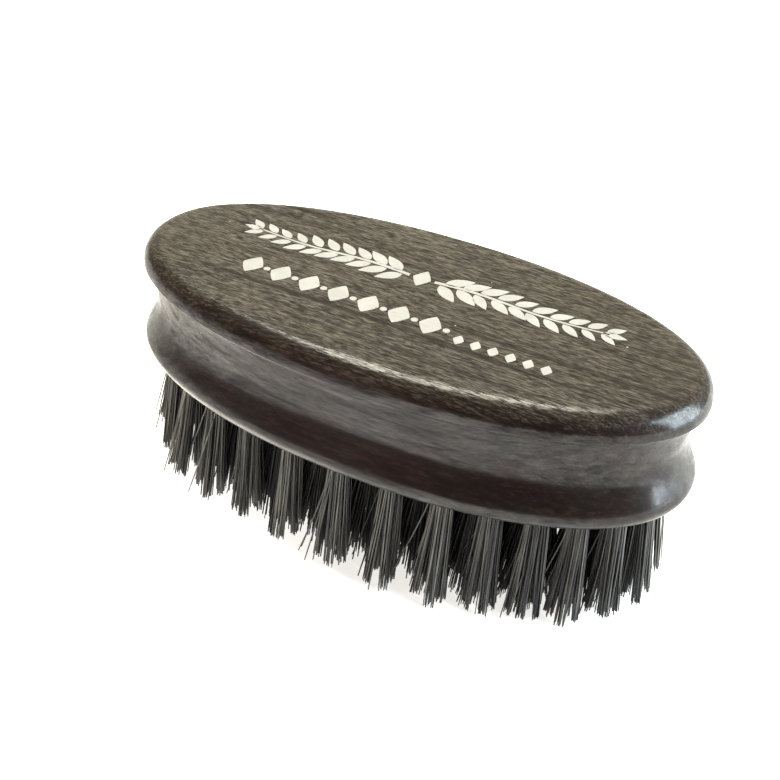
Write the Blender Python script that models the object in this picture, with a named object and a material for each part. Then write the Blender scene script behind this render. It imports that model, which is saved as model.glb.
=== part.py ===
"""Oval beard brush: a one-piece routed beech block, drilled underneath for 57 staple-set tufts.

Metres, +Z up, +X along the block. The brush stands on its trimmed bristle tips at Z = 0, and the origin lies
under the middle of the block. Run it with: blender --background --python part.py
"""

import math

import bmesh
import bpy
import numpy as np
from mathutils import Matrix

MM = 0.001

# The routed block. Insets are measured inwards from the rim's outline, and heights up from the underside.
RIM_HALF_LENGTH = 56.0 * MM
RIM_HALF_WIDTH = 26.3 * MM
OUTLINE_POWER = 2.15  # 2 is an ellipse, and more is squarer
OUTLINE_SIDES = 96
BLOCK_HEIGHT = 24.6 * MM
TOP_ROUND_HEIGHT = 4.2 * MM
TOP_ROUND_INSET = 4.1 * MM
RIM_EDGE_HEIGHT = 19.6 * MM
RIM_EDGE_INSET = 0.5 * MM
GROOVE_HEIGHT = 12.4 * MM
GROOVE_INSET = 2.0 * MM
FOOT_HEIGHT = 3.9 * MM
FOOT_INSET = -1.4 * MM
FOOT_ROUND_INSET = 4.8 * MM
OGEE_SKEW = 0.8  # below 1 draws the ogee's steep middle towards the foot

# The bristle field. A lean is the run outwards for each unit of drop, towards the ends and towards the sides.
BRISTLE_HEIGHT = 24.8 * MM
HOLE_RADIUS = 2.3 * MM
HOLE_DEPTH = 12.0 * MM
TUFT_GAP = 0.3 * MM
TUFT_TIP_RADIUS = 3.5 * MM
HOLE_SIDES = 12
CUTTER_OVERRUN = 2.0 * MM

OUTER_COUNT = 28
OUTER_INSET = 5.4 * MM
OUTER_LEAN = (0.24, 0.11)
OUTER_START = 0.5  # of one pitch, round from the -X end
OUTER_BUNCHING = (-0.30, 0.49)  # pitches drawn towards the +X end, and towards both ends

MIDDLE_COUNT = 19
MIDDLE_INSET = 12.3 * MM
MIDDLE_LEAN = (0.14, 0.08)
MIDDLE_START = 0.0
MIDDLE_BUNCHING = (0.0, 0.0)

CENTRE_COUNT = 10
CENTRE_HALF_LENGTH = 30.0 * MM
CENTRE_STAGGER = 3.6 * MM
CENTRE_LEAN = (0.07, 0.03)

WOOD = (0.085, 0.062, 0.050)
BRISTLE = (0.060, 0.056, 0.050)


def clear_scene():
    for obj in list(bpy.data.objects):
        bpy.data.objects.remove(obj, do_unlink=True)


def new_collection(name, hidden=False):
    collection = bpy.data.collections.new(name)
    collection.hide_render = hidden
    bpy.context.scene.collection.children.link(collection)
    return collection


def new_material(name, colour, roughness):
    material = bpy.data.materials.new(name)
    material.use_nodes = True
    shader = material.node_tree.nodes["Principled BSDF"]
    shader.inputs["Base Color"].default_value = (*colour, 1)
    shader.inputs["Roughness"].default_value = roughness
    shader.inputs["Metallic"].default_value = 0
    return material


def new_object(name, mesh, collection, material=None):
    obj = bpy.data.objects.new(name, mesh)
    if material:
        mesh.materials.append(material)
    collection.objects.link(obj)
    return obj


def oval(half_length, half_width, turn):
    """Points of a superellipse at the angles turn, and the outward normals there."""
    cos, sin = np.cos(turn), np.sin(turn)
    x = half_length * np.sign(cos) * np.abs(cos) ** (2 / OUTLINE_POWER)
    y = half_width * np.sign(sin) * np.abs(sin) ** (2 / OUTLINE_POWER)
    normal = np.stack(
        [
            np.sign(x) * np.abs(x / half_length) ** (OUTLINE_POWER - 1) / half_length,
            np.sign(y) * np.abs(y / half_width) ** (OUTLINE_POWER - 1) / half_width,
        ],
        axis=1,
    )
    normal /= np.linalg.norm(normal, axis=1, keepdims=True)
    return np.stack([x, y], axis=1), normal


def arc(steps):
    """Angles from 0 to a right angle, both included."""
    return np.linspace(0, math.pi / 2, steps + 1)


def block_profile():
    """(inset, height) down the block's side, from the edge of the flat top to the edge of the underside."""
    shoulder = BLOCK_HEIGHT - TOP_ROUND_HEIGHT
    points = [
        (TOP_ROUND_INSET * (1 - math.sin(a)), shoulder + TOP_ROUND_HEIGHT * math.cos(a))
        for a in arc(7)
    ]
    points.append((RIM_EDGE_INSET, RIM_EDGE_HEIGHT))
    for a in arc(5)[1:]:
        inset = RIM_EDGE_INSET + (GROOVE_INSET - RIM_EDGE_INSET) * math.sin(a)
        height = GROOVE_HEIGHT + (RIM_EDGE_HEIGHT - GROOVE_HEIGHT) * math.cos(a)
        points.append((inset, height))
    for t in np.linspace(1, 0, 9)[1:]:
        skewed = t**OGEE_SKEW
        blend = skewed * skewed * (3 - 2 * skewed)
        inset = FOOT_INSET + (GROOVE_INSET - FOOT_INSET) * blend
        points.append((inset, FOOT_HEIGHT + (GROOVE_HEIGHT - FOOT_HEIGHT) * t))
    for a in arc(5)[1:]:
        inset = FOOT_INSET + FOOT_ROUND_INSET * (1 - math.cos(a))
        points.append((inset, FOOT_HEIGHT * (1 - math.sin(a))))
    return points


def solid_block_mesh():
    """The undrilled block: the side profile carried round the oval, closed by a flat top and underside."""
    turn = np.linspace(0, 2 * math.pi, OUTLINE_SIDES, endpoint=False)
    outline, normal = oval(RIM_HALF_LENGTH, RIM_HALF_WIDTH, turn)
    shape = bmesh.new()
    rings = []
    for inset, height in block_profile():
        at = outline - normal * inset
        rings.append([shape.verts.new((x, y, BRISTLE_HEIGHT + height)) for x, y in at])
    for upper, lower in zip(rings, rings[1:]):
        for i in range(OUTLINE_SIDES):
            j = (i + 1) % OUTLINE_SIDES
            shape.faces.new((upper[i], lower[i], lower[j], upper[j]))
    shape.faces.new(rings[0])
    shape.faces.new(reversed(rings[-1]))
    bmesh.ops.recalc_face_normals(shape, faces=shape.faces)
    mesh = bpy.data.meshes.new("block")
    shape.to_mesh(mesh)
    shape.free()
    return mesh


def ring_places(count, start, inset, bunching):
    """count (x, y, outward normal) round the block, inset from the rim, from the -X end by way of -Y."""
    turn = np.linspace(math.pi, 3 * math.pi, 4001)
    points, normals = oval(RIM_HALF_LENGTH - inset, RIM_HALF_WIDTH - inset, turn)
    run = np.concatenate([[0], np.cumsum(np.linalg.norm(np.diff(points, axis=0), axis=1))])
    share = run / run[-1]
    index = count * share
    for wave, pitches in enumerate(bunching, 1):
        index += pitches * np.sin(2 * math.pi * wave * share)
    places = []
    for i in range(count):
        k = np.searchsorted(index, i + start)
        places.append((*points[k], *normals[k]))
    return places


def tuft_places():
    """Name, x, y, and the run of the lean along X and Y for each unit of height, for every tuft."""
    rings = (
        ("outer", OUTER_COUNT, OUTER_START, OUTER_INSET, OUTER_BUNCHING, OUTER_LEAN),
        ("middle", MIDDLE_COUNT, MIDDLE_START, MIDDLE_INSET, MIDDLE_BUNCHING, MIDDLE_LEAN),
    )
    for ring, count, start, inset, bunching, lean in rings:
        places = ring_places(count, start, inset, bunching)
        for i, (x, y, nx, ny) in enumerate(places, 1):
            yield f"{ring}_{i:02d}", x, y, nx * lean[0], ny * lean[1]
    # The last tufts stand in a zigzag along the middle.
    for i, share in enumerate(np.linspace(-1, 1, CENTRE_COUNT), 1):
        side = 1 if i % 2 else -1
        x, y = share * CENTRE_HALF_LENGTH, side * CENTRE_STAGGER
        yield f"centre_{i:02d}", x, y, share * CENTRE_LEAN[0], side * CENTRE_LEAN[1]


def turned_mesh(name, profile):
    """A closed solid turned about Z from (radius, height) points that run down its outer side."""
    shape = bmesh.new()
    ring = [shape.verts.new((radius, 0, height)) for radius, height in profile]
    edges = [shape.edges.new(pair) for pair in zip(ring, ring[1:])]
    bmesh.ops.spin(
        shape,
        geom=ring + edges,
        cent=(0, 0, 0),
        axis=(0, 0, 1),
        angle=2 * math.pi,
        steps=HOLE_SIDES,
        use_merge=True,
        use_duplicate=False,
    )
    bmesh.ops.remove_doubles(shape, verts=shape.verts, dist=0.001 * MM)
    bmesh.ops.recalc_face_normals(shape, faces=shape.faces)
    mesh = bpy.data.meshes.new(name)
    shape.to_mesh(mesh)
    shape.free()
    return mesh


def lean_about_mouth(mesh, lean_x, lean_y):
    """Slants a mesh outwards below the hole's mouth, and keeps every level slice level."""
    slant = Matrix.Identity(4)
    slant[0][2] = -lean_x
    slant[1][2] = -lean_y
    mesh.transform(slant)


def drill_hole(block, cutters, name, x, y, lean_x, lean_y):
    """A blind hole in the underside, as a cutter at its mouth and a Boolean on the block."""
    profile = [
        (0, HOLE_DEPTH),
        (HOLE_RADIUS, HOLE_DEPTH),
        (HOLE_RADIUS, -CUTTER_OVERRUN),
        (0, -CUTTER_OVERRUN),
    ]
    mesh = turned_mesh(f"hole_{name}", profile)
    lean_about_mouth(mesh, lean_x, lean_y)
    cutter = new_object(f"hole_{name}", mesh, cutters)
    cutter.location = (x, y, BRISTLE_HEIGHT)
    cutter.hide_render = True
    cutter.display_type = "WIRE"
    return cutter


def add_tuft(collection, material, name, x, y, lean_x, lean_y):
    """A bundle of bristles: straight in its hole, flaring below it, and trimmed level at Z = 0."""
    root_radius = HOLE_RADIUS - TUFT_GAP
    profile = [
        (0, HOLE_DEPTH - TUFT_GAP),
        (root_radius, HOLE_DEPTH - TUFT_GAP),
        (root_radius, 0),
        (TUFT_TIP_RADIUS, -BRISTLE_HEIGHT),
        (0, -BRISTLE_HEIGHT),
    ]
    mesh = turned_mesh(f"tuft_{name}", profile)
    lean_about_mouth(mesh, lean_x, lean_y)
    mesh.shade_smooth()
    mesh.set_sharp_from_angle(angle=math.radians(30))
    tuft = new_object(f"tuft_{name}", mesh, collection, material)
    tuft.location = (x, y, BRISTLE_HEIGHT)


def add_block(collection, cutters, material, places):
    """The block, with one Boolean for all its holes, which stay clear of each other."""
    block = new_object("brush_block", solid_block_mesh(), collection, material)
    for place in places:
        drill_hole(block, cutters, *place)
    holes = block.modifiers.new("tuft_holes", "BOOLEAN")
    holes.operation = "DIFFERENCE"
    holes.operand_type = "COLLECTION"
    holes.collection = cutters
    holes.solver = "EXACT"
    block.data.shade_smooth()
    block.data.set_sharp_from_angle(angle=math.radians(35))


def main():
    clear_scene()
    parts = new_collection("beard_brush")
    cutters = new_collection("cutters", hidden=True)
    wood = new_material("stained_beech", WOOD, 0.45)
    bristle = new_material("bristle", BRISTLE, 0.5)
    places = list(tuft_places())
    add_block(parts, cutters, wood, places)
    for place in places:
        add_tuft(parts, bristle, *place)


main()
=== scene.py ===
"""Looks of the oval beard brush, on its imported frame: routed wood, tufts of bristle, anchors and print."""

import math
import random

import bmesh
import bpy
import numpy as np
from mathutils import Matrix, Vector


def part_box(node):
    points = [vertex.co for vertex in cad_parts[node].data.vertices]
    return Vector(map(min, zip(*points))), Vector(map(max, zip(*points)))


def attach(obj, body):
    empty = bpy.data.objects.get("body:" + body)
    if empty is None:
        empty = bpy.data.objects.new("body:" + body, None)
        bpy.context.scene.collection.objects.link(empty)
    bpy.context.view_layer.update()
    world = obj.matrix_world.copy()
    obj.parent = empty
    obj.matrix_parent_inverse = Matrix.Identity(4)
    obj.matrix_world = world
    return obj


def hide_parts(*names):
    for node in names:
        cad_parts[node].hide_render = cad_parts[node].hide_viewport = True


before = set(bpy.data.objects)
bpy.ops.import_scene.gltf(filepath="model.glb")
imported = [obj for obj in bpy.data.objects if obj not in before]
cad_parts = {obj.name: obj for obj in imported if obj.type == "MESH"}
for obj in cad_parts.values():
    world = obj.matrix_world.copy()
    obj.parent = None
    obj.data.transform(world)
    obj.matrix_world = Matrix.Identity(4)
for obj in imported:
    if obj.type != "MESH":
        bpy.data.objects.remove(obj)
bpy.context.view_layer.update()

MM = 0.001
BODY = "root"

# The block's section, as the CAD model has it. Insets are inwards from the rim's outline, and heights up from
# the underside.
BLOCK_LOW, BLOCK_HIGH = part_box("brush_block")
UNDERSIDE = BLOCK_LOW.z
TOP = BLOCK_HIGH.z
BLOCK_HEIGHT = TOP - UNDERSIDE
FOOT_INSET = -1.4 * MM
RIM_HALF_LENGTH = (BLOCK_HIGH.x - BLOCK_LOW.x) / 2 + FOOT_INSET
RIM_HALF_WIDTH = (BLOCK_HIGH.y - BLOCK_LOW.y) / 2 + FOOT_INSET
OUTLINE_POWER = 2.15
TOP_ROUND_HEIGHT = 4.2 * MM
TOP_ROUND_INSET = 4.1 * MM
RIM_EDGE_HEIGHT = 19.6 * MM
RIM_EDGE_INSET = 0.5 * MM
RIM_EDGE_RADIUS = 0.6 * MM
GROOVE_HEIGHT = 12.4 * MM
GROOVE_INSET = 2.0 * MM
FOOT_HEIGHT = 3.9 * MM
FOOT_ROUND_INSET = 4.8 * MM
OGEE_SKEW = 0.8
OUTLINE_SIDES = 288
SUPPORT_LOOP = 0.25 * MM
ARC_STEPS = 16
EDGE_STEPS = 4
OGEE_STEPS = 24
# Pale painted on the rim's lower edge and the side just above it: partly rubbing of the finish, partly a
# painted highlight where these downward rounds would mirror the floor.
EDGE_WEAR_HIGHLIGHT, SIDE_WEAR_HIGHLIGHT = 0.7, 0.5  # how rubbed the rim's lower edge is, and the side just above it
FOOT_WEAR_HIGHLIGHT_POWER = 0.8
SHARP_ANGLE = math.radians(32)

# Holes, bristles and anchors.
HOLE_RADIUS = 2.3 * MM
HOLE_DEPTH = 12.0 * MM
HOLE_SIDES = 24
MOUTH_CHAMFER = 0.22 * MM
BUNDLE_RADIUS = 2.05 * MM
STRANDS_PER_TUFT = 66  # each is folded double over its anchor, so a tuft has twice as many ends
STRAND_RADIUS = 0.15 * MM
STRAND_TIP_RADIUS = 0.115 * MM
STRAND_SIDES = 5
CLUMPS_PER_TUFT = 5
INNER_STRANDS = 128  # the inner rows' tufts are fuller and flare until they close up
INNER_FLARE = 1.8
END_PULL = 2.0 * MM  # how far the tips at the two ends stay back towards the middle
OUTER_SPREAD, INNER_SPREAD = 1.2, 0.7  # below 1, strands part close under the block
# Painted shade: the inner rows' strands are darkened to this share, for the shade deep among the tufts.
INNER_PAINTED_SHADE = 0.3
OUTER_PULL, INNER_PULL = (0.3, 0.62), (0.05, 0.3)  # how far tips are drawn to their clump's centre
ANCHOR_DEPTH = 9.0 * MM
ANCHOR_LENGTH = 5.0 * MM
ANCHOR_WIDTH = 1.6 * MM
ANCHOR_THICKNESS = 0.35 * MM
ANCHOR_BEVEL = 0.12 * ANCHOR_THICKNESS
ANCHOR_SHARP_ANGLE = math.radians(40)

# Chance in a tuft: where its tips gather, and which strand ends stray or are broken short. A draw below
# STRAY_CHANCE makes a stray, and one from there up to SHORT_CHANCE a short end.
TUFT_SEED = 1000
CLUMP_RING = (0.55, 0.85)
TIP_FLARE = 1.12
STRAY_CHANCE = 0.035
SHORT_CHANCE = 0.10
SHORTEST_CUT = 0.05 * MM


# --------------------------------------------------------------------------------------------------
# Mesh helpers


def add_piece(name, mesh, material, replaced=()):
    """Links a mesh as a piece of the brush that rides on its only body."""
    piece = bpy.data.objects.new(name, mesh)
    bpy.context.scene.collection.objects.link(piece)
    mesh.materials.append(material)
    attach(piece, BODY)
    if replaced:
        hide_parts(*replaced)
    return piece


def mesh_from(name, points, faces):
    mesh = bpy.data.meshes.new(name)
    mesh.from_pydata([tuple(p) for p in points], [], [tuple(f) for f in faces])
    mesh.update()
    return mesh


def oval(half_length, half_width, sides):
    """Points and outward normals of the block's superellipse outline."""
    turn = np.linspace(0, 2 * math.pi, sides, endpoint=False)
    cos, sin = np.cos(turn), np.sin(turn)
    x = half_length * np.sign(cos) * np.abs(cos) ** (2 / OUTLINE_POWER)
    y = half_width * np.sign(sin) * np.abs(sin) ** (2 / OUTLINE_POWER)
    normal = np.stack(
        [
            np.sign(x) * np.abs(x / half_length) ** (OUTLINE_POWER - 1) / half_length,
            np.sign(y) * np.abs(y / half_width) ** (OUTLINE_POWER - 1) / half_width,
        ],
        axis=1,
    )
    normal /= np.linalg.norm(normal, axis=1, keepdims=True)
    return np.stack([x, y], axis=1), normal


# --------------------------------------------------------------------------------------------------
# Tuft axes, read from the CAD tufts


def tuft_axis(node):
    """(mouth point, lean along X and Y for each unit of drop) of a CAD tuft, from its two level ends."""
    points = np.array([v.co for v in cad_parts[node].data.vertices])
    low, high = points[:, 2].min(), points[:, 2].max()
    ends = []
    for level in (low, high):
        ring = points[np.abs(points[:, 2] - level) < 0.01 * MM][:, :2]
        ends.append((ring.min(axis=0) + ring.max(axis=0)) / 2)
    lean = (ends[0] - ends[1]) / (high - low)
    mouth = ends[1] + lean * (high - UNDERSIDE)
    tip = points[np.abs(points[:, 2] - low) < 0.01 * MM][:, :2]
    return mouth, lean, float(np.ptp(tip[:, 0])) / 2


TUFT_NODES = sorted(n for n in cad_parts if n.startswith("tuft_"))
TUFTS = {node.removeprefix("tuft_"): tuft_axis(node) for node in TUFT_NODES}
END_PLACE = max(mouth[0] for mouth, _, _ in TUFTS.values())


# --------------------------------------------------------------------------------------------------
# The block


def block_profile():
    """(inset, height, pale share) down the block's side. The pale share is high on the edges that hands and
    cloths rub and on the rounds that would mirror the floor: partly rubbing, partly a painted highlight.
    """
    arc = [math.pi / 2 * i / ARC_STEPS for i in range(ARC_STEPS + 1)]
    shoulder = BLOCK_HEIGHT - TOP_ROUND_HEIGHT
    points = [(TOP_ROUND_INSET + SUPPORT_LOOP, BLOCK_HEIGHT, 0.0)]
    for a in arc:
        inset = TOP_ROUND_INSET * (1 - math.sin(a))
        points.append((inset, shoulder + TOP_ROUND_HEIGHT * math.cos(a), 0.0))
    # The rim's lower edge is a small round between its straight side and the start of the groove.
    radius = RIM_EDGE_RADIUS
    points.append((RIM_EDGE_INSET * 0.30, RIM_EDGE_HEIGHT + 3.0 * radius, 0.0))
    points.append((RIM_EDGE_INSET * 0.45, RIM_EDGE_HEIGHT + 1.7 * radius, SIDE_WEAR_HIGHLIGHT))
    for i in range(EDGE_STEPS + 1):
        a = math.pi / 2 * i / EDGE_STEPS
        inset = RIM_EDGE_INSET * 0.55 + radius * (1 - math.cos(a))
        points.append((inset, RIM_EDGE_HEIGHT + radius * (1 - math.sin(a)), EDGE_WEAR_HIGHLIGHT))
    start = points[-1][0]
    for a in arc[2:]:
        inset = start + (GROOVE_INSET - start) * math.sin(a)
        height = GROOVE_HEIGHT + (RIM_EDGE_HEIGHT - GROOVE_HEIGHT) * math.cos(a)
        points.append((inset, height, 0.0))
    for i in range(1, OGEE_STEPS + 1):
        t = 1 - i / OGEE_STEPS
        skewed = t**OGEE_SKEW
        blend = skewed * skewed * (3 - 2 * skewed)
        inset = FOOT_INSET + (GROOVE_INSET - FOOT_INSET) * blend
        points.append((inset, FOOT_HEIGHT + (GROOVE_HEIGHT - FOOT_HEIGHT) * t, 0.0))
    # The foot's round is painted pale about its middle: partly rubbing, partly a painted highlight where it
    # would mirror the floor.
    for a in arc[1:]:
        inset = FOOT_INSET + FOOT_ROUND_INSET * (1 - math.cos(a))
        wear_highlight = abs(math.sin(2 * a)) ** FOOT_WEAR_HIGHLIGHT_POWER
        points.append((inset, FOOT_HEIGHT * (1 - math.sin(a)), wear_highlight))
    points.append((FOOT_INSET + FOOT_ROUND_INSET + 0.4 * SUPPORT_LOOP, 0.0, 0.0))
    return points


def hole_ring(shape, centre, lean, radius, height):
    """One level ring of a hole, height above the underside, about its leaning axis."""
    middle = centre - lean * height
    ring = []
    for i in range(HOLE_SIDES):
        a = 2 * math.pi * i / HOLE_SIDES
        x, y = middle[0] + radius * math.cos(a), middle[1] + radius * math.sin(a)
        ring.append(shape.verts.new((x, y, UNDERSIDE + height)))
    return ring


def join_rings(shape, upper, lower):
    count = len(upper)
    for i in range(count):
        j = (i + 1) % count
        shape.faces.new((upper[i], lower[i], lower[j], upper[j]))


def ring_edges(shape, ring):
    return [shape.edges.get(pair) or shape.edges.new(pair) for pair in zip(ring, ring[1:] + ring[:1])]


def make_block(material):
    """The routed block, with a blind hole for every tuft and a small chamfer at each mouth."""
    shape = bmesh.new()
    wear_highlight = shape.verts.layers.float.new("wear_highlight")
    outline, normal = oval(RIM_HALF_LENGTH, RIM_HALF_WIDTH, OUTLINE_SIDES)
    rings = []
    for inset, height, worn_highlight in block_profile():
        at = outline - normal * inset
        ring = [shape.verts.new((x, y, UNDERSIDE + height)) for x, y in at]
        for vertex in ring:
            vertex[wear_highlight] = worn_highlight
        rings.append(ring)
    for upper, lower in zip(rings, rings[1:]):
        join_rings(shape, upper, lower)
    shape.faces.new(rings[0])
    edges = ring_edges(shape, rings[-1])
    for mouth, lean, _ in TUFTS.values():
        lip = hole_ring(shape, mouth, lean, HOLE_RADIUS + MOUTH_CHAMFER, 0)
        throat = hole_ring(shape, mouth, lean, HOLE_RADIUS, MOUTH_CHAMFER)
        floor = hole_ring(shape, mouth, lean, HOLE_RADIUS, HOLE_DEPTH)
        join_rings(shape, lip, throat)
        join_rings(shape, throat, floor)
        shape.faces.new(floor)
        edges += ring_edges(shape, lip)
    bmesh.ops.triangle_fill(shape, use_beauty=True, use_dissolve=False, edges=edges)
    bmesh.ops.recalc_face_normals(shape, faces=shape.faces)
    mesh = bpy.data.meshes.new("wood_block")
    shape.to_mesh(mesh)
    shape.free()
    mesh.shade_smooth()
    mesh.set_sharp_from_angle(angle=SHARP_ANGLE)
    return add_piece("wood_block", mesh, material, ["brush_block"])


# --------------------------------------------------------------------------------------------------
# Bristles and anchors


def packed_disc(count, draw):
    """count places in a unit half disc, y above 0, evenly packed with a little scatter."""
    places = []
    for i in range(count):
        radius = min(1.0, math.sqrt((i + 0.5) / count) + draw.gauss(0, 0.03))
        turn = (i * 0.618034) % 1 * math.pi
        places.append((radius * math.cos(turn), radius * math.sin(turn)))
    return places


def leg_points(mouth, lean, opening, root, tip, bow, drop):
    """Points of one leg of a strand, from its tip up to halfway into the hole."""
    points = []
    for share in (1.0, 0.76, 0.5, 0.24, 0.0):
        spread = share**opening
        bulge = math.sin(math.pi * share) * (1 - 0.35 * share)
        place = mouth + lean * drop * share + root * (1 - spread) + tip * spread + bow * bulge
        points.append((*place, UNDERSIDE - drop * share))
    inner = mouth - lean * ANCHOR_DEPTH * 0.6 + root * 0.97
    points.append((*inner, UNDERSIDE + ANCHOR_DEPTH * 0.6))
    return points


def fold_points(mouth, lean, root_a, root_b):
    """Points of the fold, over the anchor, from one leg to the other."""
    points = []
    reach = min(HOLE_DEPTH - ANCHOR_DEPTH - 0.6 * MM, np.linalg.norm(root_a - root_b) / 2)
    for share in (0.06, 0.5, 0.94):
        level = ANCHOR_DEPTH + 0.2 * MM + reach * math.sin(math.pi * share)
        place = mouth - lean * level + (root_a * (1 - share) + root_b * share) * 0.95
        points.append((*place, UNDERSIDE + level))
    return points


def strand_rings(points, radii, normal):
    """Vertices of a tube along points, as an array of rings. The path lies nearly square to normal."""
    points = np.array(points)
    tangent = np.gradient(points, axis=0)
    tangent /= np.linalg.norm(tangent, axis=1, keepdims=True)
    side = np.cross(tangent, normal)
    side /= np.linalg.norm(side, axis=1, keepdims=True)
    other = np.cross(side, tangent)
    rings = []
    for k in range(STRAND_SIDES):
        a = 2 * math.pi * k / STRAND_SIDES
        offset = math.cos(a) * side + math.sin(a) * other
        rings.append(points + offset * np.array(radii)[:, None])
    return np.stack(rings, axis=1)


def tube_faces(rings, first):
    faces = []
    for r in range(rings - 1):
        base = first + r * STRAND_SIDES
        for k in range(STRAND_SIDES):
            j = (k + 1) % STRAND_SIDES
            faces.append((base + k, base + j, base + STRAND_SIDES + j, base + STRAND_SIDES + k))
    last = first + (rings - 1) * STRAND_SIDES
    faces.append(tuple(first + k for k in reversed(range(STRAND_SIDES))))
    faces.append(tuple(last + k for k in range(STRAND_SIDES)))
    return faces


def make_clumps(draw):
    """(centre in the unit disc, shortfall) of the points that a tuft's tips gather into."""
    clumps = []
    for i in range(CLUMPS_PER_TUFT):
        a = 2 * math.pi * (i + draw.uniform(-0.3, 0.3)) / CLUMPS_PER_TUFT
        r = draw.uniform(*CLUMP_RING)
        centre = np.array([r * math.cos(a), r * math.sin(a)])
        clumps.append((centre, abs(draw.gauss(0, 0.8)) * MM))
    return clumps


def strand_end(unit, radius, clumps, pull_range, draw):
    """(place of the tip about the tuft's axis, drop below the underside) of one leg."""
    centre, short = min(clumps, key=lambda clump: np.linalg.norm(clump[0] - unit))
    pull = draw.uniform(*pull_range)
    place = (unit * (1 - pull) + centre * pull) * radius * (TIP_FLARE + draw.gauss(0, 0.05))
    place += np.array([draw.gauss(0, 0.18), draw.gauss(0, 0.18)]) * MM
    short = SHORTEST_CUT + short * draw.uniform(0.7, 1.0) + abs(draw.gauss(0, 0.45)) * MM
    chance = draw.random()
    if chance < STRAY_CHANCE:
        # Use has splayed a few strands, mostly towards one end of the brush.
        place += np.array([draw.gauss(-2.2, 1.6), draw.gauss(0, 1.0)]) * MM
    elif chance < SHORT_CHANCE:
        short += draw.uniform(1.0, 4.0) * MM
    return place, UNDERSIDE - short


def tuft_draw(index):
    """(the source of a tuft's random numbers, the turn of its anchor)."""
    draw = random.Random(TUFT_SEED + index)
    return draw, draw.uniform(0, math.pi)


def make_tuft(name, index, material):
    """A tuft's strands, each folded double over the anchor, as one mesh with a shade for every strand; the
    inner rows' strands are darkened as painted shade.
    """
    mouth, lean, tip_radius = TUFTS[name]
    draw, spin = tuft_draw(index)
    along = np.array([math.cos(spin), math.sin(spin)])
    across = np.array([-along[1], along[0]])
    sway = np.array([draw.gauss(0, 0.35), draw.gauss(0, 0.35)]) * MM
    sway[0] -= END_PULL * (mouth[0] / END_PLACE) ** 3
    clumps = make_clumps(draw)
    normal = np.array([along[0], along[1], 0.0])
    strands, pull_range, opening, shade = STRANDS_PER_TUFT, OUTER_PULL, OUTER_SPREAD, 1.0
    # The inner rows are fuller, and their strands get painted shade.
    if not name.startswith("outer"):
        strands, pull_range, opening, shade = INNER_STRANDS, INNER_PULL, INNER_SPREAD, INNER_PAINTED_SHADE
        tip_radius *= INNER_FLARE
    vertices, faces, tones_and_shade = [], [], []
    for place in packed_disc(strands, draw):
        legs = []
        for side in (1, -1):
            unit = along * place[0] + across * place[1] * side
            tip, drop = strand_end(unit, tip_radius, clumps, pull_range, draw)
            bow = np.array([draw.gauss(0, 0.16), draw.gauss(0, 0.16)]) * MM
            legs.append((unit * BUNDLE_RADIUS, tip + sway, bow, drop))
        fold = fold_points(mouth, lean, legs[0][0], legs[1][0])
        points = leg_points(mouth, lean, opening, *legs[0]) + fold
        points += leg_points(mouth, lean, opening, *legs[1])[::-1]
        swell = draw.uniform(0.82, 1.15)
        taper = [STRAND_TIP_RADIUS] + [STRAND_RADIUS] * (len(points) - 2) + [STRAND_TIP_RADIUS]
        rings = strand_rings(points, [r * swell for r in taper], normal)
        faces += tube_faces(len(points), len(vertices))
        vertices += rings.reshape(-1, 3).tolist()
        tones_and_shade += [shade * draw.random()] * (len(points) * STRAND_SIDES)
    mesh = mesh_from(f"bristles_{name}", vertices, faces)
    tone_and_shade = mesh.attributes.new("strand_tone_and_shade", "FLOAT", "POINT")
    tone_and_shade.data.foreach_set("value", np.array(tones_and_shade, np.float32))
    mesh.shade_smooth()
    return add_piece(f"bristles_{name}", mesh, material, [f"tuft_{name}"])


def make_anchor(name, index, material):
    """The flat wire that holds a folded tuft down in its hole, its ends pressed into the wall."""
    mouth, lean, _ = TUFTS[name]
    _, spin = tuft_draw(index)
    shape = bmesh.new()
    bmesh.ops.create_cube(shape, size=1)
    shape.transform(Matrix.Diagonal((ANCHOR_LENGTH, ANCHOR_THICKNESS, ANCHOR_WIDTH, 1)))
    edges = shape.edges
    bmesh.ops.bevel(shape, geom=edges, offset=ANCHOR_BEVEL, segments=2, affect="EDGES", profile=0.5)
    centre = mouth - lean * ANCHOR_DEPTH
    shape.transform(
        Matrix.Translation((*centre, UNDERSIDE + ANCHOR_DEPTH - ANCHOR_WIDTH / 2))
        @ Matrix.Rotation(spin, 4, "Z")
    )
    mesh = bpy.data.meshes.new(f"anchor_{name}")
    shape.to_mesh(mesh)
    shape.free()
    mesh.shade_smooth()
    mesh.set_sharp_from_angle(angle=ANCHOR_SHARP_ANGLE)
    return add_piece(f"anchor_{name}", mesh, material)


# --------------------------------------------------------------------------------------------------
# Print on the flat top: a generic leaf sprig over a row of lozenges


PRINT_THICKNESS = 0.05 * MM
SPRIG_FROM, SPRIG_TO, SPRIG_Y = -39.5 * MM, 39.5 * MM, 5.6 * MM
SPRIG_PITCH = 3.7 * MM
LEAF_LENGTH = 5.6 * MM
LEAF_WIDTH = 2.4 * MM
LEAF_TURN = 37  # degrees from the stem
LEAF_STEPS = 9
LEAF_SHRINK = 0.38  # from the middle of the sprig to its ends
STEM_STEPS = 24
STEM_HALF_WIDTH = 0.42 * MM
STEM_START, FIRST_LEAF = 2.6 * MM, 4.2 * MM  # from the middle of the sprig
SPRIG_WAVE = 0.5 * MM
END_LEAF_LENGTH, END_LEAF_WIDTH = 4.4 * MM, 1.7 * MM
MIDDLE_LENGTH, MIDDLE_WIDTH = 3.6 * MM, 5.6 * MM
BLOB_STEPS = 24
ROW_FROM, ROW_Y = -29.5 * MM, -6.4 * MM
ROW_SLOPE = -0.035
LOZENGE_COUNT, LOZENGE_PITCH = 7, 6.2 * MM
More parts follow.
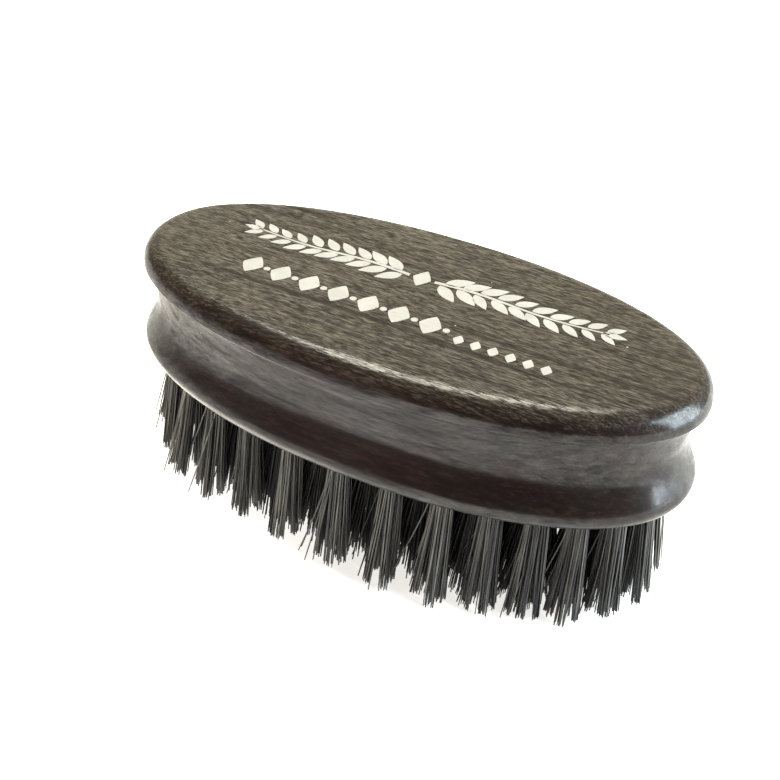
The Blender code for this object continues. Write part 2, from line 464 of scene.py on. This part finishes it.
LOZENGE_LENGTH, LOZENGE_WIDTH = 4.2 * MM, 5.8 * MM
DOT_SIZE, DOT_SHIFT = 1.3 * MM, 3.1 * MM
TAIL_COUNT, TAIL_PITCH = 6, 3.2 * MM
TAIL_LENGTH, TAIL_WIDTH = 2.0 * MM, 2.8 * MM
TAIL_DROP = 1.4 * MM


def leaf_outline(base, turn, length, width):
    """A pointed leaf from base along turn."""
    upper, lower = [], []
    for i in range(LEAF_STEPS + 1):
        t = i / LEAF_STEPS
        half = width / 2 * math.sin(math.pi * t**0.8) ** 0.9 if 0 < t < 1 else 0
        upper.append((t * length, half))
        if 0 < i < LEAF_STEPS:
            lower.append((t * length, -half))
    cos, sin = math.cos(turn), math.sin(turn)
    outline = upper + lower[::-1]
    return [(base[0] + x * cos - y * sin, base[1] + x * sin + y * cos) for x, y in outline]


def blob_outline(centre, length, width, power):
    """A lozenge or a dot: a superellipse, sharp below power 1.5 and round at 2."""
    points = []
    for i in range(BLOB_STEPS):
        a = 2 * math.pi * i / BLOB_STEPS
        cos, sin = math.cos(a), math.sin(a)
        x = length / 2 * math.copysign(abs(cos) ** (2 / power), cos)
        y = width / 2 * math.copysign(abs(sin) ** (2 / power), sin)
        points.append((centre[0] + x, centre[1] + y))
    return points


def print_mesh(name, outlines):
    """Raised flat shapes of ink on the block's top, from closed outlines."""
    shape = bmesh.new()
    for outline in outlines:
        bottom = [shape.verts.new((x, y, TOP - 0.01 * MM)) for x, y in outline]
        top = [shape.verts.new((x, y, TOP + PRINT_THICKNESS)) for x, y in outline]
        shape.faces.new(top)
        shape.faces.new(reversed(bottom))
        join_rings(shape, top, bottom)
    bmesh.ops.recalc_face_normals(shape, faces=shape.faces)
    mesh = bpy.data.meshes.new(name)
    shape.to_mesh(mesh)
    shape.free()
    return mesh


def sprig_wave(t):
    """How far the stem sways off its straight line, at share t of its length."""
    return SPRIG_WAVE * math.sin(2.2 * math.pi * t)


def make_sprig(material):
    """Two leafy stems that grow from a lozenge in the middle towards the two ends."""
    draw = random.Random(7)
    outlines = []
    middle = (SPRIG_FROM + SPRIG_TO) / 2
    half = (SPRIG_TO - SPRIG_FROM) / 2
    stem_length = half - 6 * MM
    for side in (-1, 1):
        stem = []
        for i in range(STEM_STEPS + 1):
            t = i / STEM_STEPS
            x = middle + side * (STEM_START + t * stem_length)
            stem.append((x, SPRIG_Y + sprig_wave(t), STEM_HALF_WIDTH * (1 - 0.6 * t)))
        outlines.append([(x, y + w) for x, y, w in stem] + [(x, y - w) for x, y, w in reversed(stem)])
        leaves = int(stem_length / SPRIG_PITCH)
        for i in range(leaves + 1):
            t = i / leaves
            x = middle + side * (FIRST_LEAF + t * (half - 8.6 * MM))
            y = SPRIG_Y + sprig_wave(t)
            for flip in (1, -1):
                size = (1.05 - LEAF_SHRINK * t) * draw.uniform(0.93, 1.07)
                turn = math.radians(LEAF_TURN + draw.gauss(0, 3)) * flip
                if side < 0:
                    turn = math.pi - turn
                base = (x + 0.35 * MM * flip * side, y + 0.55 * MM * flip)
                outlines.append(leaf_outline(base, turn, LEAF_LENGTH * size, LEAF_WIDTH * size))
        end = middle + side * (half - 3.4 * MM)
        turn = 0 if side > 0 else math.pi
        base = (end - side * 1.2 * MM, SPRIG_Y + 0.2 * MM)
        outlines.append(leaf_outline(base, turn, END_LEAF_LENGTH, END_LEAF_WIDTH))
    outlines.append(blob_outline((middle, SPRIG_Y), MIDDLE_LENGTH, MIDDLE_WIDTH, 1.15))
    mesh = print_mesh("print_sprig", outlines)
    return add_piece("print_sprig", mesh, material)


def make_row(material):
    """Large lozenges and dots in turn, then a tail of small lozenges that sits a little lower."""
    outlines = []

    def add(x, length, width, power, drop=0.0):
        y = ROW_Y + (x - ROW_FROM) * ROW_SLOPE - drop
        outlines.append(blob_outline((x, y), length, width, power))

    x = ROW_FROM
    for _ in range(LOZENGE_COUNT):
        add(x, LOZENGE_LENGTH, LOZENGE_WIDTH, 1.2)
        add(x + DOT_SHIFT, DOT_SIZE, DOT_SIZE, 2)
        x += LOZENGE_PITCH
    x -= 0.2 * MM
    for _ in range(TAIL_COUNT):
        add(x, TAIL_LENGTH, TAIL_WIDTH, 1.2, TAIL_DROP)
        x += TAIL_PITCH
    mesh = print_mesh("print_row", outlines)
    return add_piece("print_row", mesh, material)


# --------------------------------------------------------------------------------------------------
# Materials


class Nodes:
    """A material's node tree, with short calls to add and link nodes."""

    def __init__(self, name):
        self.material = bpy.data.materials.new(name)
        self.material.use_nodes = True
        self.tree = self.material.node_tree
        self.shader = self.tree.nodes["Principled BSDF"]
        self.coordinates = self.tree.nodes.new("ShaderNodeTexCoord").outputs["Object"]

    def add(self, kind, **inputs):
        node = self.tree.nodes.new(kind)
        for key, value in inputs.items():
            self.put(node, key, value)
        return node

    def put(self, node, key, value):
        socket = node.inputs[key.replace("_", " ")] if isinstance(key, str) else node.inputs[key]
        if isinstance(value, bpy.types.NodeSocket):
            self.tree.links.new(value, socket)
        else:
            socket.default_value = value

    def mapped(self, scale):
        """Object coordinates in grains: scale is grains to the metre along X, Y and Z."""
        node = self.add("ShaderNodeMapping", Vector=self.coordinates, Scale=scale)
        return node.outputs["Vector"]

    def places(self):
        """The object's X, Y and Z as separate values."""
        return self.add("ShaderNodeSeparateXYZ", Vector=self.coordinates).outputs

    def noise(self, scale, detail=3.0, rough=0.5, warp=0.0):
        node = self.add("ShaderNodeTexNoise", Vector=self.mapped(scale), Scale=1.0, Detail=detail)
        node.inputs["Roughness"].default_value = rough
        node.inputs["Distortion"].default_value = warp
        return node.outputs["Fac"]

    def ramp(self, value, low, high, out_low=0.0, out_high=1.0):
        node = self.tree.nodes.new("ShaderNodeMapRange")
        node.interpolation_type = "SMOOTHSTEP"
        for index, item in enumerate((value, low, high, out_low, out_high)):
            self.put(node, index, item)
        return node.outputs["Result"]

    def math(self, operation, a, b=0.5, c=None):
        node = self.tree.nodes.new("ShaderNodeMath")
        node.operation = operation
        self.put(node, 0, a)
        self.put(node, 1, b)
        if c is not None:
            self.put(node, 2, c)
        return node.outputs[0]

    def mix(self, factor, a, b):
        node = self.tree.nodes.new("ShaderNodeMix")
        node.data_type = "RGBA"
        self.put(node, 0, factor)
        self.put(node, 6, a if isinstance(a, bpy.types.NodeSocket) else (*a, 1))
        self.put(node, 7, b if isinstance(b, bpy.types.NodeSocket) else (*b, 1))
        return node.outputs[2]

    def bump(self, height, strength, distance):
        node = self.add("ShaderNodeBump", Height=height, Strength=strength, Distance=distance)
        return node.outputs["Normal"]


STAIN_RED = (0.0095, 0.0026, 0.0022)
STAIN_BROWN = (0.0120, 0.0046, 0.0038)
STAIN_OLIVE = (0.0120, 0.0095, 0.0058)
TOP_PAINTED_SHEEN = (0.045, 0.037, 0.028)
FLECK_SIDE, FLECK_TOP = (0.040, 0.022, 0.017), (0.080, 0.066, 0.049)
PORE, VEIN = (0.004, 0.0024, 0.0020), (0.005, 0.0022, 0.0018)
SPECK = (0.30, 0.28, 0.24)
RUBBED_HIGHLIGHT = (0.40, 0.365, 0.305)
BUMP_DEPTH = 0.2 * MM


def wood_material():
    """Dark-stained beech under a clear coat: short flecks along X, dots on the end grain, abraded edges
    painted pale as part rubbing and part highlight, and a painted sheen on the flat top.
    """
    n = Nodes("stained_beech")
    along, _, up = n.places()
    fleck = n.noise((560, 4300, 4300), detail=2.5, rough=0.6)
    streak = n.noise((130, 1200, 1200), detail=3.0, rough=0.6)
    lines = n.noise((13, 420, 620), detail=2.0, rough=0.6, warp=0.2)
    cloud = n.noise((55, 320, 320), detail=4.0, rough=0.65, warp=0.4)
    broad = n.noise((45, 130, 130), detail=3.0, rough=0.55, warp=0.6)
    tint = n.noise((90, 160, 160), detail=2.0)
    # The flat top is the roughest face. The routed sides were sanded finer, so their grain shows less.
    show = n.ramp(up, UNDERSIDE + RIM_EDGE_HEIGHT, TOP - 2.0 * MM, 0.5, 1.0)
    flat = n.ramp(up, TOP - 3.4 * MM, TOP - 0.2 * MM)
    face = n.ramp(up, TOP - 1.0 * MM, TOP - 0.2 * MM)
    # Short flecks on the flat, and longer streaks where the cutter ran along the grain.
    share = n.ramp(flat, 0.0, 1.0, 0.65, 0.2)
    grain = n.math("MULTIPLY_ADD", n.math("SUBTRACT", streak, fleck), share, fleck)
    light = n.math("MULTIPLY", n.ramp(grain, 0.50, 0.62), show)
    dark = n.math("MULTIPLY", n.ramp(grain, 0.50, 0.40), show)
    vein = n.ramp(lines, 0.54, 0.66, 0.0, 0.7)
    colour = n.mix(n.ramp(broad, 0.3, 0.7), STAIN_RED, STAIN_BROWN)
    colour = n.mix(n.ramp(tint, 0.45, 0.7, 0.0, 0.6), colour, STAIN_OLIVE)
    # Painted sheen: the flat top is mixed towards a paler grey-brown, as the coat would mirror the room's
    # glow.
    colour = n.mix(n.math("MULTIPLY", flat, 0.35), colour, TOP_PAINTED_SHEEN)
    pale = n.mix(flat, FLECK_SIDE, FLECK_TOP)
    colour = n.mix(n.math("MULTIPLY", light, 0.75), colour, pale)
    colour = n.mix(n.math("MULTIPLY", dark, 0.85), colour, PORE)
    colour = n.mix(vein, colour, VEIN)
    specks = n.add("ShaderNodeTexVoronoi", Vector=n.mapped((170, 170, 170)), Scale=1.0)
    colour = n.mix(n.ramp(specks.outputs["Distance"], 0.040, 0.022), colour, SPECK)
    # Painted highlight and rubbing: the rim's lower edge and the foot's round are painted a pale cream,
    # broken by the flecks and kept to the left half, where these rounds would mirror the floor.
    wear_highlight = n.add("ShaderNodeAttribute")
    wear_highlight.attribute_name = "wear_highlight"
    rubbed_highlight = n.math("MULTIPLY", wear_highlight.outputs["Fac"], n.ramp(along, 8 * MM, -34 * MM, 0.05, 1.0))
    rubbed_highlight = n.math("MULTIPLY", rubbed_highlight, n.ramp(fleck, 0.3, 0.6, 0.35, 0.85))
    colour = n.mix(rubbed_highlight, colour, RUBBED_HIGHLIGHT)
    n.put(n.shader, "Base Color", colour)
    n.put(n.shader, "Roughness", n.ramp(fleck, 0.3, 0.7, 0.62, 0.45))
    n.shader.inputs["Specular IOR Level"].default_value = 0.1
    # Open pores and veins hold less of the coat, so they mirror less of the room.
    # Round the two ends, the open end grain has filled up with coat and mirrors evenly.
    end = n.ramp(n.math("ABSOLUTE", along), 40 * MM, 52 * MM)
    least = n.math("MULTIPLY_ADD", end, 0.30, n.ramp(face, 0.0, 1.0, 0.18, 0.08))
    closed = n.ramp(n.math("MAXIMUM", dark, vein), 0.0, 1.0, 0.62, least)
    gain = n.math("MULTIPLY", n.ramp(face, 0.0, 1.0, 0.28, 0.40), n.ramp(end, 0.0, 1.0, 1.0, 0.3))
    sealed = n.math("MULTIPLY_ADD", light, gain, closed)
    sealed = n.math("MULTIPLY", sealed, n.ramp(cloud, 0.34, 0.62, 0.68, 1.12))
    # Handling has polished the worn half of the foot's lower edge.
    polish = n.ramp(up, UNDERSIDE + 4.5 * MM, UNDERSIDE + 3.1 * MM)
    polish = n.math("MULTIPLY", polish, n.ramp(along, 12 * MM, -20 * MM, 0.05, 0.6))
    n.put(n.shader, "Coat Weight", n.math("ADD", sealed, polish))
    n.put(n.shader, "Coat Roughness", n.ramp(streak, 0.3, 0.7, 0.205, 0.145))
    n.shader.inputs["Coat IOR"].default_value = 1.5
    n.put(n.shader, "Normal", n.bump(grain, 0.25, BUMP_DEPTH))
    n.put(n.shader, "Coat Normal", n.bump(grain, n.ramp(face, 0.0, 1.0, 0.022, 0.18), BUMP_DEPTH))
    return n.material


BRISTLE_DARK = (0.006, 0.0055, 0.0058)
BRISTLE_MID = (0.078, 0.073, 0.064)
BRISTLE_PALE = (0.178, 0.164, 0.140)
BRISTLE_DUST = (0.022, 0.022, 0.025)
INK, INK_PALE, INK_THIN = (0.325, 0.318, 0.304), (0.380, 0.370, 0.355), (0.23, 0.22, 0.19)
WIRE_DARK, WIRE_PALE = (0.42, 0.40, 0.37), (0.60, 0.58, 0.54)
BOARD, BOARD_PALE, BOARD_GLOW = (0.93, 0.93, 0.93), (0.95, 0.95, 0.95), (1.0, 0.98, 0.93)


def bristle_material():
    """Stiff dark filament: every strand has its own shade, darker in the inner rows as painted shade, with a
    dull sheen.
    """
    n = Nodes("bristle")
    tone_and_shade = n.add("ShaderNodeAttribute")
    tone_and_shade.attribute_name = "strand_tone_and_shade"
    shade = tone_and_shade.outputs["Fac"]
    along = n.noise((700, 700, 130), detail=2.0)
    # The strand's darkness holds random shading and, in the inner rows, painted shade.
    colour = n.mix(n.ramp(shade, 0.0, 0.7), BRISTLE_DARK, BRISTLE_MID)
    colour = n.mix(n.ramp(shade, 0.65, 1.0), colour, BRISTLE_PALE)
    colour = n.mix(n.ramp(along, 0.35, 0.7, 0.0, 0.4), colour, BRISTLE_DUST)
    n.put(n.shader, "Base Color", colour)
    n.put(n.shader, "Roughness", n.ramp(along, 0.3, 0.7, 0.38, 0.58))
    n.put(n.shader, "Specular IOR Level", n.ramp(shade, 0.0, 0.5, 0.08, 0.55))
    return n.material


def ink_material():
    """Ivory pad-print ink, a little thin where it lies over the grain."""
    n = Nodes("print_ink")
    fleck = n.noise((480, 4000, 4000), detail=2.5, rough=0.6)
    cloud = n.noise((220, 220, 220), detail=2.0)
    colour = n.mix(n.ramp(cloud, 0.3, 0.7), INK, INK_PALE)
    colour = n.mix(n.ramp(fleck, 0.45, 0.30, 0.0, 0.5), colour, INK_THIN)
    n.put(n.shader, "Base Color", colour)
    n.put(n.shader, "Roughness", n.ramp(cloud, 0.3, 0.7, 0.5, 0.65))
    n.shader.inputs["Specular IOR Level"].default_value = 0.3
    n.put(n.shader, "Normal", n.bump(fleck, 0.15, BUMP_DEPTH / 2))
    return n.material


def wire_material():
    """Drawn steel wire, brushed along X."""
    n = Nodes("anchor_wire")
    drawn = n.noise((300, 2500, 2500), detail=2.0)
    n.put(n.shader, "Base Color", n.mix(drawn, WIRE_DARK, WIRE_PALE))
    n.put(n.shader, "Roughness", n.ramp(drawn, 0.3, 0.7, 0.28, 0.45))
    n.shader.inputs["Metallic"].default_value = 1.0
    return n.material


def floor_material():
    """White board. It glows a little in front of the brush, to hold hardly any shadow, and far away."""
    n = Nodes("pale_floor")
    mottle = n.noise((6, 6, 6), detail=2.0)
    n.put(n.shader, "Base Color", n.mix(mottle, BOARD, BOARD_PALE))
    n.shader.inputs["Roughness"].default_value = 0.9
    n.shader.inputs["Specular IOR Level"].default_value = 0.1
    n.shader.inputs["Emission Color"].default_value = (*BOARD_GLOW, 1)
    x, y, _ = n.places()
    azimuth = math.radians(CAMERA_AZIMUTH)
    sin, cos = math.sin(azimuth), math.cos(azimuth)
    front = n.math("MULTIPLY_ADD", x, sin, n.math("MULTIPLY", y, -cos))
    aside = n.math("MULTIPLY_ADD", x, cos, n.math("MULTIPLY", y, sin))
    before = n.ramp(front, -40 * MM, 8 * MM, 0.12, 1.05)
    near = n.math("MULTIPLY", before, n.ramp(aside, -50 * MM, 60 * MM, 1.06, 0.12))
    away = n.add("ShaderNodeVectorMath")
    away.operation = "LENGTH"
    n.put(away, 0, n.coordinates)
    far = n.ramp(away.outputs["Value"], 0.3, 1.0)
    # The camera sees the board nearly burnt out, with a trace of the shadow left.
    seen = n.math("MULTIPLY", n.add("ShaderNodeLightPath").outputs["Is Camera Ray"], 0.8)
    n.put(n.shader, "Emission Strength", n.math("MAXIMUM", n.math("MAXIMUM", near, far), seen))
    return n.material


# --------------------------------------------------------------------------------------------------
# Camera, floor and light


CAMERA_AZIMUTH, CAMERA_ELEVATION, CAMERA_ROLL = 23.8, 38.4, 4.07  # degrees
CAMERA_DISTANCE = 181.1 * MM
CAMERA_AIM = Vector((-2.45 * MM, 0, UNDERSIDE + 0.8 * MM))
CAMERA_LENS, CAMERA_SENSOR = 41.80, 36
CAMERA_CLIP = 5 * MM
FLOOR_HALF_SIZE = 3.0


def direction(azimuth, elevation):
    """A unit vector from the brush: azimuth 0 is towards -Y and 90 towards +X, in degrees."""
    a, e = math.radians(azimuth), math.radians(elevation)
    return Vector((math.sin(a) * math.cos(e), -math.cos(a) * math.cos(e), math.sin(e)))


def make_camera():
    """The camera, a little rolled, aimed close to the middle of the underside."""
    data = bpy.data.cameras.new("camera")
    data.lens = CAMERA_LENS
    data.sensor_width = CAMERA_SENSOR
    data.clip_start = CAMERA_CLIP
    camera = bpy.data.objects.new("camera", data)
    bpy.context.scene.collection.objects.link(camera)
    azimuth, roll = math.radians(CAMERA_AZIMUTH), math.radians(CAMERA_ROLL)
    back = direction(CAMERA_AZIMUTH, CAMERA_ELEVATION)
    level = Vector((math.cos(azimuth), math.sin(azimuth), 0))
    upright = back.cross(level)
    right = math.cos(roll) * level + math.sin(roll) * upright
    up = back.cross(right)
    turn = Matrix((right, up, back)).transposed().to_4x4()
    camera.matrix_world = Matrix.Translation(CAMERA_AIM + back * CAMERA_DISTANCE) @ turn
    bpy.context.scene.camera = camera


def make_floor():
    """A wide board under the brush."""
    mesh = bpy.data.meshes.new("floor")
    shape = bmesh.new()
    bmesh.ops.create_grid(shape, x_segments=8, y_segments=8, size=FLOOR_HALF_SIZE)
    shape.to_mesh(mesh)
    shape.free()
    floor = bpy.data.objects.new("floor", mesh)
    mesh.materials.append(floor_material())
    bpy.context.scene.collection.objects.link(floor)


def add_softbox(name, azimuth, elevation, distance, size, power, colour):
    """A rectangular soft light that faces the brush."""
    data = bpy.data.lights.new(name, "AREA")
    data.shape = "RECTANGLE"
    data.size, data.size_y = size
    data.energy = power
    data.color = colour
    light = bpy.data.objects.new(name, data)
    towards = direction(azimuth, elevation)
    light.location = Vector((0, 0, UNDERSIDE)) + towards * distance
    light.rotation_euler = towards.to_track_quat("Z", "Y").to_euler()
    bpy.context.scene.collection.objects.link(light)


# The room as the wood's sheen shows it: (azimuth, elevation, half width in degrees, colour) of soft glows.
ROOM_GLOWS = (
    (200, 34, 42, (1.15, 1.09, 0.81)),
    (-105, 15, 38, (0.22, 0.20, 0.16)),
    (-40, 18, 32, (0.37, 0.24, 0.205)),
)
ROOM_AMBIENT = (0.01, 0.01, 0.01)


def room_light():
    """A pale backdrop for the camera; for everything else a dim room with soft glows in it."""
    world = bpy.data.worlds.new("room")
    world.use_nodes = True
    bpy.context.scene.world = world
    tree = world.node_tree
    add, link = tree.nodes.new, tree.links.new
    where = add("ShaderNodeTexCoord").outputs["Generated"]
    total = None
    for azimuth, elevation, width, colour in ROOM_GLOWS:
        dot = add("ShaderNodeVectorMath")
        dot.operation = "DOT_PRODUCT"
        link(where, dot.inputs[0])
        dot.inputs[1].default_value = direction(azimuth, elevation)
        fall = add("ShaderNodeMapRange")
        fall.interpolation_type = "SMOOTHERSTEP"
        link(dot.outputs["Value"], fall.inputs["Value"])
        fall.inputs["From Min"].default_value = math.cos(math.radians(width * 1.7))
        fall.inputs["From Max"].default_value = math.cos(math.radians(width * 0.35))
        glow = add("ShaderNodeVectorMath")
        glow.operation = "MULTIPLY_ADD"
        link(fall.outputs["Result"], glow.inputs[0])
        glow.inputs[1].default_value = colour
        if total is None:
            glow.inputs[2].default_value = ROOM_AMBIENT
        else:
            link(total, glow.inputs[2])
        total = glow.outputs["Vector"]
    backdrop, lit = add("ShaderNodeBackground"), tree.nodes["Background"]
    link(total, lit.inputs["Color"])
    backdrop.inputs["Color"].default_value = (1, 1, 1, 1)
    choose = add("ShaderNodeMixShader")
    link(add("ShaderNodeLightPath").outputs["Is Camera Ray"], choose.inputs["Fac"])
    link(lit.outputs["Background"], choose.inputs[1])
    link(backdrop.outputs["Background"], choose.inputs[2])
    link(choose.outputs["Shader"], tree.nodes["World Output"].inputs["Surface"])


def make_light():
    """A warm softbox high behind, a cool window low at the right, and the dim room round them."""
    add_softbox("overhead", 214, 66, 0.60, (0.44, 0.28), 5.6, (1.0, 0.95, 0.80))
    add_softbox("window", 102, 22, 0.80, (0.52, 0.62), 17.0, (0.80, 0.93, 1.0))
    room_light()


def main():
    wood = wood_material()
    bristle = bristle_material()
    wire = wire_material()
    ink = ink_material()
    make_camera()
    make_floor()
    make_light()
    make_block(wood)
    for index, name in enumerate(TUFTS):
        make_tuft(name, index, bristle)
        make_anchor(name, index, wire)
    make_sprig(ink)
    make_row(ink)
    bpy.context.scene.view_settings.view_transform = "Standard"


main()
